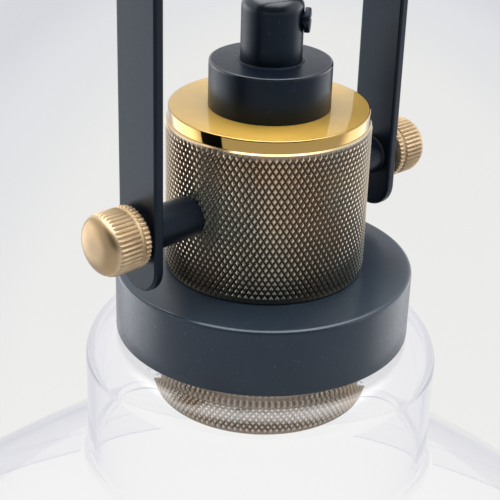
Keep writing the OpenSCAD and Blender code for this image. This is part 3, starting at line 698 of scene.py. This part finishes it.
def hex_nut(name, node, segments=96):
    """A hexagon nut with both faces chamfered to the circle inside its corners."""
    low, high = corners(node)
    flat = (high.y - low.y) / 2
    circle = NUT_CIRCLE * flat
    slope = math.tan(math.radians(NUT_SLOPE))

    def row(radius_of, z_of):
        out = []
        for i in range(segments):
            a = 2 * math.pi * i / segments
            r = radius_of(a)
            out.append((r * math.cos(a), r * math.sin(a), z_of(r)))
        return out

    def hexagon(z_of):
        return row(lambda a: flat / math.cos(a % (math.pi / 3) - math.pi / 6), z_of)

    def level_ring(radius, z):
        return row(lambda a: radius, lambda r: z)

    rows = [level_ring(NUT_BORE_R, low.z + NUT_CHAMFER),
            level_ring(NUT_BORE_R + NUT_CHAMFER, low.z),
            level_ring(circle, low.z),
            hexagon(lambda r: low.z + (r - circle) * slope),
            hexagon(lambda r: high.z - (r - circle) * slope),
            level_ring(circle, high.z),
            level_ring(NUT_BORE_R + NUT_CHAMFER, high.z),
            level_ring(NUT_BORE_R, high.z - NUT_CHAMFER)]
    verts = [v for each in rows for v in each]
    rings = [[j * segments + i for i in range(segments)] for j in range(len(rows))]
    faces = []
    for a, b in zip(rings, rings[1:] + rings[:1]):
        faces += band(a, b)
    return place(name, verts, faces, "black_fastener", "yoke", node, sharp=20)


hex_nut("upper_nut", "hang_nut_upper")
hex_nut("lower_nut", "hang_nut_lower")

NIPPLE_PITCH, NIPPLE_DEPTH, SHANK_DEPTH = 1.0, 0.45, 0.35
lathe("hang_thread", [(NIPPLE_BORE_R, THREAD_LOW.z + 0.3), (NIPPLE_BORE_R + 0.2, THREAD_LOW.z)]
      + threaded_line(SHANK_R, THREAD_LOW.z, -0.2, NIPPLE_PITCH, SHANK_DEPTH)
      + threaded_line(THREAD_HIGH.x, 0, THREAD_HIGH.z - 0.4, NIPPLE_PITCH, NIPPLE_DEPTH)
      + [(THREAD_HIGH.x - 0.5, THREAD_HIGH.z), (NIPPLE_BORE_R + 0.2, THREAD_HIGH.z),
         (NIPPLE_BORE_R, THREAD_HIGH.z - 0.3)],
      "steel", "yoke", "hang_nipple", segments=48, steps=0, cut=screw_thread(NIPPLE_PITCH))


# Lampholder: skirt, screw shell and the contact's spring
SKIRT_IN = SKIRT_R - SKIRT_WALL
SHELL_OUT = SHELL_HIGH.x
SHELL_T = 0.45
SHELL_GAP = 0.45
SKIRT_LAMP_R = SHELL_OUT + SHELL_GAP
RING_PITCH, RING_DEPTH = 2.5, 0.8
FLANGE_GAP = 1.0
FLANGE_R = SLEEVE_IN - FLANGE_GAP
lathe("skirt_shell", [(SKIRT_LAMP_R, SKIRT_LOW.z + 0.3), (SKIRT_LAMP_R + 0.3, SKIRT_LOW.z),
      (SKIRT_R - 0.8, SKIRT_LOW.z)]
      + threaded_line(SKIRT_R, SKIRT_LOW.z + 0.8, DISC_LOW.z, RING_PITCH, RING_DEPTH, 12)
      + [(SKIRT_R, DISC_HIGH.z), (FLANGE_R, DISC_HIGH.z), (FLANGE_R, DISC_HIGH.z + SKIRT_FLANGE),
         (SKIRT_R, DISC_HIGH.z + SKIRT_FLANGE), (SKIRT_R, SKIRT_HIGH.z), (SKIRT_IN, SKIRT_HIGH.z),
         (SKIRT_IN, SHELL_HIGH.z), (SKIRT_LAMP_R, SHELL_HIGH.z)],
      "phenolic", "head", "holder_skirt", segments=96, steps=0, cut=screw_thread(RING_PITCH))

E27_PITCH, E27_DEPTH = 3.63, 1.05
SHELL_L = 22.0
SHELL_STEP = 1.2
SHELL_HOLE_R = 6.0
SHELL_TOP = SHELL_LOW.z + SHELL_L
NARROW_R = SHELL_OUT - SHELL_T - SHELL_STEP
lathe("shell_thread", threaded_line(SHELL_OUT, SHELL_LOW.z, SHELL_TOP, E27_PITCH, E27_DEPTH, 12)
      + [(SHELL_OUT, SHELL_TOP + SHELL_T), (NARROW_R + SHELL_T, SHELL_TOP + SHELL_T),
         (NARROW_R + SHELL_T, SHELL_HIGH.z), (SHELL_HOLE_R, SHELL_HIGH.z),
         (SHELL_HOLE_R, SHELL_HIGH.z - SHELL_T), (NARROW_R, SHELL_HIGH.z - SHELL_T),
         (NARROW_R, SHELL_TOP)]
      + threaded_line(SHELL_OUT - SHELL_T, SHELL_TOP, SHELL_LOW.z, E27_PITCH, E27_DEPTH, 12),
      "contact_brass", "head", "screw_shell", segments=96, steps=0, cut=screw_thread(E27_PITCH))


def coil(name, node, wire, turns, slot, body):
    """A compression spring with closed ends, as high and wide as its CAD node."""
    low, high = corners(node)
    r, thick = high.x - wire / 2, wire / 2
    start, end = low.z + thick, high.z - thick
    steps, sides = 28 * turns, 10
    closed = 0.7
    verts, faces = [], []
    for i in range(steps + 1):
        t = i / steps
        a = 2 * math.pi * turns * t
        z = start + (end - start) * smoothstep((t * turns - closed) / (turns - 2 * closed))
        for k in range(sides):
            b = 2 * math.pi * k / sides
            out = r + thick * math.cos(b)
            verts.append((out * math.cos(a), out * math.sin(a), z + thick * math.sin(b)))
    for i in range(steps):
        for k in range(sides):
            j = (k + 1) % sides
            a, b = i * sides, (i + 1) * sides
            faces.append((a + k, b + k, b + j, a + j))
    faces.append(tuple(range(sides)))
    faces.append(tuple(steps * sides + k for k in reversed(range(sides))))
    return place(name, verts, faces, slot, body, node)


spring = coil("contact_coil", "contact_spring", 0.6, 6, "steel", "head")
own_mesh(spring)


# Glass shade, as the part has it: a neck with a round shoulder, and a slightly bowed flare
GLASS_WALL = 2.2
GLASS_NECK_R, GLASS_NECK_H = 47.3, 35.8
OUTER_SHOULDER, INNER_SHOULDER = 8.2, 6.0
OUTER_FILLET, INNER_FILLET = 6.0, 8.2
FLARE_SLOPE, FLARE_BOW_R, LIP_R = 35.5, 1200.0, 9.0
SHADE_PLAY = 0.5
SHADE_HOLE_R = HUB_R + SHADE_PLAY


def shade_outline():
    """Outer and inner line of the shade, each from the top hole to the lip."""
    rim_r, top = GLASS_HIGH.x, GLASS_HIGH.z
    foot = top - GLASS_NECK_H
    slope = math.radians(FLARE_SLOPE)
    ease = math.tan((math.pi / 2 - slope) / 2)
    start_r = GLASS_NECK_R + OUTER_FILLET * (1 - math.sin(slope))
    start_z = foot - OUTER_FILLET * math.cos(slope)
    bow_r = start_r - FLARE_BOW_R * math.sin(slope)
    bow_z = start_z - FLARE_BOW_R * math.cos(slope)
    lip_r = rim_r - LIP_R
    turn = math.asin((lip_r - bow_r) / (FLARE_BOW_R - LIP_R))
    lip_z = bow_z + (FLARE_BOW_R - LIP_R) * math.cos(turn)
    flare, lip = 90 - FLARE_SLOPE, 90 - math.degrees(turn)
    sides = []
    for depth, high, shoulder, fillet in (
            (0, top - SEAT_GAP, OUTER_SHOULDER, OUTER_FILLET),
            (GLASS_WALL, top - GLASS_WALL, INNER_SHOULDER, INNER_FILLET)):
        wall_r = GLASS_NECK_R - depth
        fillet_z = foot - (OUTER_FILLET + depth - fillet) * ease
        sides.append([(SHADE_HOLE_R, high)]
                     + arc(wall_r - shoulder, high - shoulder, shoulder, 90, 0, 24)
                     + arc(wall_r + fillet, fillet_z, fillet, 180, 180 + flare, 20)
                     + arc(bow_r, bow_z, FLARE_BOW_R - depth, flare, lip, 24)
                     + arc(lip_r, lip_z, LIP_R - depth, lip, 0, 16))
    half = GLASS_WALL / 2
    rim = arc(rim_r - half, GLASS_LOW.z + half, half, 0, -180, 12)
    return apart(sides[0] + rim + sides[1][::-1])


lathe("shade_glass", shade_outline()[::-1], "clear_glass", "shade", "glass_shade", segments=360,
      steps=0, sharp=50)


# Thumbscrews
KNOB_TEETH, TOOTH_DEPTH = 40, 0.5
KNOB_RIM, KNOB_GROOVE, KNOB_GRIP = 1.7, 0.9, 6.4
NECK_R, NECK_L, STUD_R, STUD_END = 4.5, 0.5, 2.5, 21.0


def thumbscrew(side):
    """Head with rounded teeth, a bright groove and a domed face, on its plain neck and stud."""
    name = "left" if side < 0 else "right"
    r, end, root = KNOB_HIGH.y, KNOB_HIGH.x, TOOTH_DEPTH
    grip_end = end - KNOB_DOME
    grip_start = grip_end - KNOB_GRIP
    rim_end = grip_start - KNOB_GROOVE
    rim_start = rim_end - KNOB_RIM

    def gap(a, _):
        """0 on the crown of a tooth and 1 in the groove beside it."""
        return 0.5 - 0.5 * math.cos(KNOB_TEETH * a)

    # stud and neck, toothed rim, groove and toothed grip, each with eased edges
    ease, full, worn, groove_r = 0.12, 0.3, 0.8 * root, r - 0.72
    line = [(0, STUD_END), (STUD_R - 0.4, STUD_END), (STUD_R, STUD_END + 0.4),
            (STUD_R, rim_start - NECK_L), (NECK_R, rim_start - NECK_L), (NECK_R, rim_start),
            (r - root - 0.15, rim_start), (r - ease, rim_start + ease, worn),
            (r, rim_start + full, root), (r, rim_end - full, root),
            (r - ease, rim_end - ease, worn), (r - root - 0.1, rim_end),
            (groove_r + 0.04, rim_end + 0.08), (groove_r, rim_end + KNOB_GROOVE / 2),
            (groove_r + 0.04, grip_start - 0.08), (r - root - 0.1, grip_start),
            (r - ease, grip_start + ease, worn), (r, grip_start + full, root),
            (r, grip_end - 1.1, root), (r - 0.06, grip_end - 0.6, root * 0.75),
            (r - 0.22, grip_end - 0.2, root * 0.35)]
    # between an ellipse and a low sphere: a soft shoulder and a flatter middle
    base, steps = r - 0.42, 20
    for k in range(steps):
        a = math.radians(90 * k / steps)
        line.append((base * math.cos(a) ** 0.6, grip_end + KNOB_DOME * math.sin(a) ** 1.3))
    line.append((0, end))
    verts, faces, cuts = revolve(line, KNOB_TEETH * 10, gap, closed=False)
    outward = Matrix.Translation((0, 0, PIVOT_Z)) @ Matrix.Rotation(side * math.pi / 2, 4, "Y")
    place(name + "_knob", verts, faces, "thumbscrew_brass", name + "_clamp_screw",
          name + "_thumbscrew", sharp=35, tip=[1 - share for share in cuts], at=outward)


thumbscrew(-1)
thumbscrew(1)


# Studio
PALE = (0.905, 0.905, 0.888)
PALE_MID = (0.846, 0.85, 0.865)
PALE_EDGE = (0.83, 0.835, 0.865)
PALE_OUTSIDE = (0.785, 0.79, 0.83)
PALE_FAR = (0.755, 0.76, 0.80)
FLOOR_Z = -1.25
FLOOR_R = 14
GLOW = 0.85
# A painted pool of light on the floor: its centre, its turn, how far it reaches across and along, and how its
# colour falls off from there
POOL_TURN = math.radians(-42.6)
PAINTED_POOL = (1.415, 1.278, 0)
PAINTED_POOL_SIZE = (1.0, 3.33)
PAINTED_POOL_FALL = [(0.56, PALE), (0.71, PALE_MID), (0.84, PALE_EDGE), (0.93, PALE_OUTSIDE),
             (1.0, PALE_FAR)]


def studio_white():
    """The pale floor, with a painted pool of light that is a little darker far off. The camera, and glass and
    metal, see it glow in that colour, and it keeps the light's shadow."""
    s = Shader("floor_pale")
    painted_pool = s.add("ShaderNodeMapping", vector_type="TEXTURE")
    painted_pool.inputs["Location"].default_value = PAINTED_POOL
    painted_pool.inputs["Rotation"].default_value = (0, 0, POOL_TURN)
    painted_pool.inputs["Scale"].default_value = (*PAINTED_POOL_SIZE, 1)
    s.link(s.where, painted_pool.inputs["Vector"])
    far = s.add("ShaderNodeVectorMath", operation="LENGTH")
    s.link(painted_pool.outputs[0], far.inputs[0])
    colour = s.ramp(far.outputs["Value"], PAINTED_POOL_FALL)
    s.colour(s.mix(s.ramp(s.noise(0.6, 2), [(0.3, 0.0), (0.7, 0.02)]), colour, (1.0, 1.0, 1.0)))
    s.set(Roughness=0.9)
    glow = s.add("ShaderNodeEmission")
    s.link(colour, glow.inputs["Color"])
    path = s.add("ShaderNodeLightPath")
    seen = s.maths("MAXIMUM", path.outputs["Is Camera Ray"], path.outputs["Is Transmission Ray"])
    seen = s.maths("MAXIMUM", seen, path.outputs["Is Glossy Ray"])
    s.blend_with(s.maths("MULTIPLY", seen, GLOW), glow)
    return s.mat


bpy.ops.mesh.primitive_circle_add(vertices=96, radius=FLOOR_R, fill_type="NGON",
                                  location=(0, 0, FLOOR_Z))
floor = bpy.context.object
floor.name = "floor"
floor.data.materials.append(studio_white())

NO_GLASS = bpy.data.collections.new("no_glass")
NO_GLASS.objects.link(bpy.data.objects["shade_glass"])
NO_GLASS.collection_objects[0].light_linking.link_state = "EXCLUDE"

AIM = Vector((0, 0, -0.16))
SOFT_EDGE = 0.35


def tree_maths(tree, how, a, b):
    """A math node on two values, each a socket or a plain number."""
    node = tree.nodes.new("ShaderNodeMath")
    node.operation = how
    for socket, value in zip(node.inputs, (a, b)):
        if isinstance(value, bpy.types.NodeSocket):
            tree.links.new(value, socket)
        else:
            socket.default_value = value
    return node.outputs[0]


def smooth_range(tree, value, low, high):
    """0 up to low, 1 from high on, and a soft step between them."""
    node = tree.nodes.new("ShaderNodeMapRange")
    node.interpolation_type = "SMOOTHSTEP"
    node.inputs["From Min"].default_value = low
    node.inputs["From Max"].default_value = high
    tree.links.new(value, node.inputs["Value"])
    return node.outputs[0]


def lamp(name, where, size, level, across=False, glass=True):
    """A soft panel, whose light falls off towards its edges. level is its brightness in the
    middle, where 1 is white. across lays its length across the photographer's view. Without
    glass, the shade shows no reflection of it."""
    data = bpy.data.lights.new(name, "AREA")
    data.shape = "RECTANGLE"
    data.size, data.size_y = size
    data.energy = level * math.pi * size[0] * size[1]
    data.use_nodes = True
    tree = data.node_tree
    uv = tree.nodes.new("ShaderNodeSeparateXYZ")
    tree.links.new(tree.nodes.new("ShaderNodeNewGeometry").outputs["Parametric"], uv.inputs[0])
    fades = [smooth_range(tree, tree_maths(tree, "PINGPONG", uv.outputs[part], 0.5), 0, SOFT_EDGE)
             for part in ("X", "Y")]
    tree.links.new(tree_maths(tree, "MULTIPLY", *fades), tree.nodes["Emission"].inputs["Strength"])
    made = bpy.data.objects.new(name, data)
    bpy.context.scene.collection.objects.link(made)
    made.location = where
    made.rotation_euler = (AIM - Vector(where)).to_track_quat("-Z", "Y").to_euler()
    if across:
        made.rotation_euler = (0, 0, POOL_TURN)
    made.visible_camera = False
    made.visible_transmission = glass
    if not glass:
        made.light_linking.receiver_collection = NO_GLASS


lamp("top", (0.0, 0.0, 1.1), (2.6, 2.7), 3.4, across=True)
lamp("left", (-0.62, 1.25, -0.5), (1.9, 1.4), 2.0, glass=False)
lamp("right", (1.3, -0.35, -0.5), (1.7, 1.4), 1.3, glass=False)

ROOM_COLOUR = (0.78, 0.80, 0.84)
ROOM_LEVEL = 0.55
# The room is dark behind the photographer, above the floor: the direction, the cosines to it
# at which the dark begins and is full, and the share of light that is left there
DARK_SIDE = (-0.62, -0.65, 0.43)
DARK_FROM, DARK_TO = 0.35, 0.8
DARK_LEVEL = 0.10


def studio_room():
    """The world: even light with one dark side, and a pale backdrop for the camera and for
    what glass and metal show."""
    world = bpy.data.worlds.new("studio")
    bpy.context.scene.world = world
    world.use_nodes = True
    tree = world.node_tree
    nodes, links = tree.nodes, tree.links
    toward = nodes.new("ShaderNodeVectorMath")
    toward.operation = "DOT_PRODUCT"
    toward.inputs[1].default_value = DARK_SIDE
    links.new(nodes.new("ShaderNodeTexCoord").outputs["Generated"], toward.inputs[0])
    level = nodes.new("ShaderNodeMapRange")
    links.new(smooth_range(tree, toward.outputs["Value"], DARK_FROM, DARK_TO),
              level.inputs["Value"])
    level.inputs["To Min"].default_value = 1.0
    level.inputs["To Max"].default_value = DARK_LEVEL
    ambient = nodes["Background"]
    ambient.inputs["Color"].default_value = (*ROOM_COLOUR, 1)
    links.new(tree_maths(tree, "MULTIPLY", level.outputs[0], ROOM_LEVEL),
              ambient.inputs["Strength"])
    path = nodes.new("ShaderNodeLightPath").outputs
    straight = tree_maths(tree, "MAXIMUM", path["Is Camera Ray"], path["Transmission Depth"])
    straight = tree_maths(tree, "MINIMUM", straight, 1.0)
    backdrop = nodes.new("ShaderNodeBackground")
    backdrop.inputs["Color"].default_value = (*PALE_MID, 1)
    links.new(tree_maths(tree, "MAXIMUM", straight, level.outputs[0]),
              backdrop.inputs["Strength"])
    pick = nodes.new("ShaderNodeMixShader")
    links.new(tree_maths(tree, "MAXIMUM", straight, path["Is Glossy Ray"]), pick.inputs[0])
    links.new(ambient.outputs[0], pick.inputs[1])
    links.new(backdrop.outputs[0], pick.inputs[2])
    links.new(pick.outputs[0], nodes["World Output"].inputs["Surface"])


studio_room()

# Camera, fitted to the photograph's outlines: its place in mm from the cap's top, and its axes
CAMERA_FROM_CAP = Vector((-218.747, -225.585, 113.674))
FORWARD = Vector((0.617158, 0.651590, -0.441075))
RIGHT = Vector((0.735288, -0.677156, 0.028478))
UP = Vector((0.280120, 0.341892, 0.897019))
LENS, SENSOR = 95.679, 36.0
data = bpy.data.cameras.new("camera")
camera = bpy.data.objects.new("camera", data)
bpy.context.scene.collection.objects.link(camera)
data.sensor_width = SENSOR
data.lens = LENS
data.clip_start, data.clip_end = 0.01, 50
turn = Matrix((RIGHT, UP, -FORWARD)).transposed().to_4x4()
stand = (Vector((0, 0, CAP_HIGH.z)) + CAMERA_FROM_CAP) * MM
camera.matrix_world = Matrix.Translation(stand) @ turn
bpy.context.scene.camera = camera
bpy.context.scene.view_settings.view_transform = "Standard"
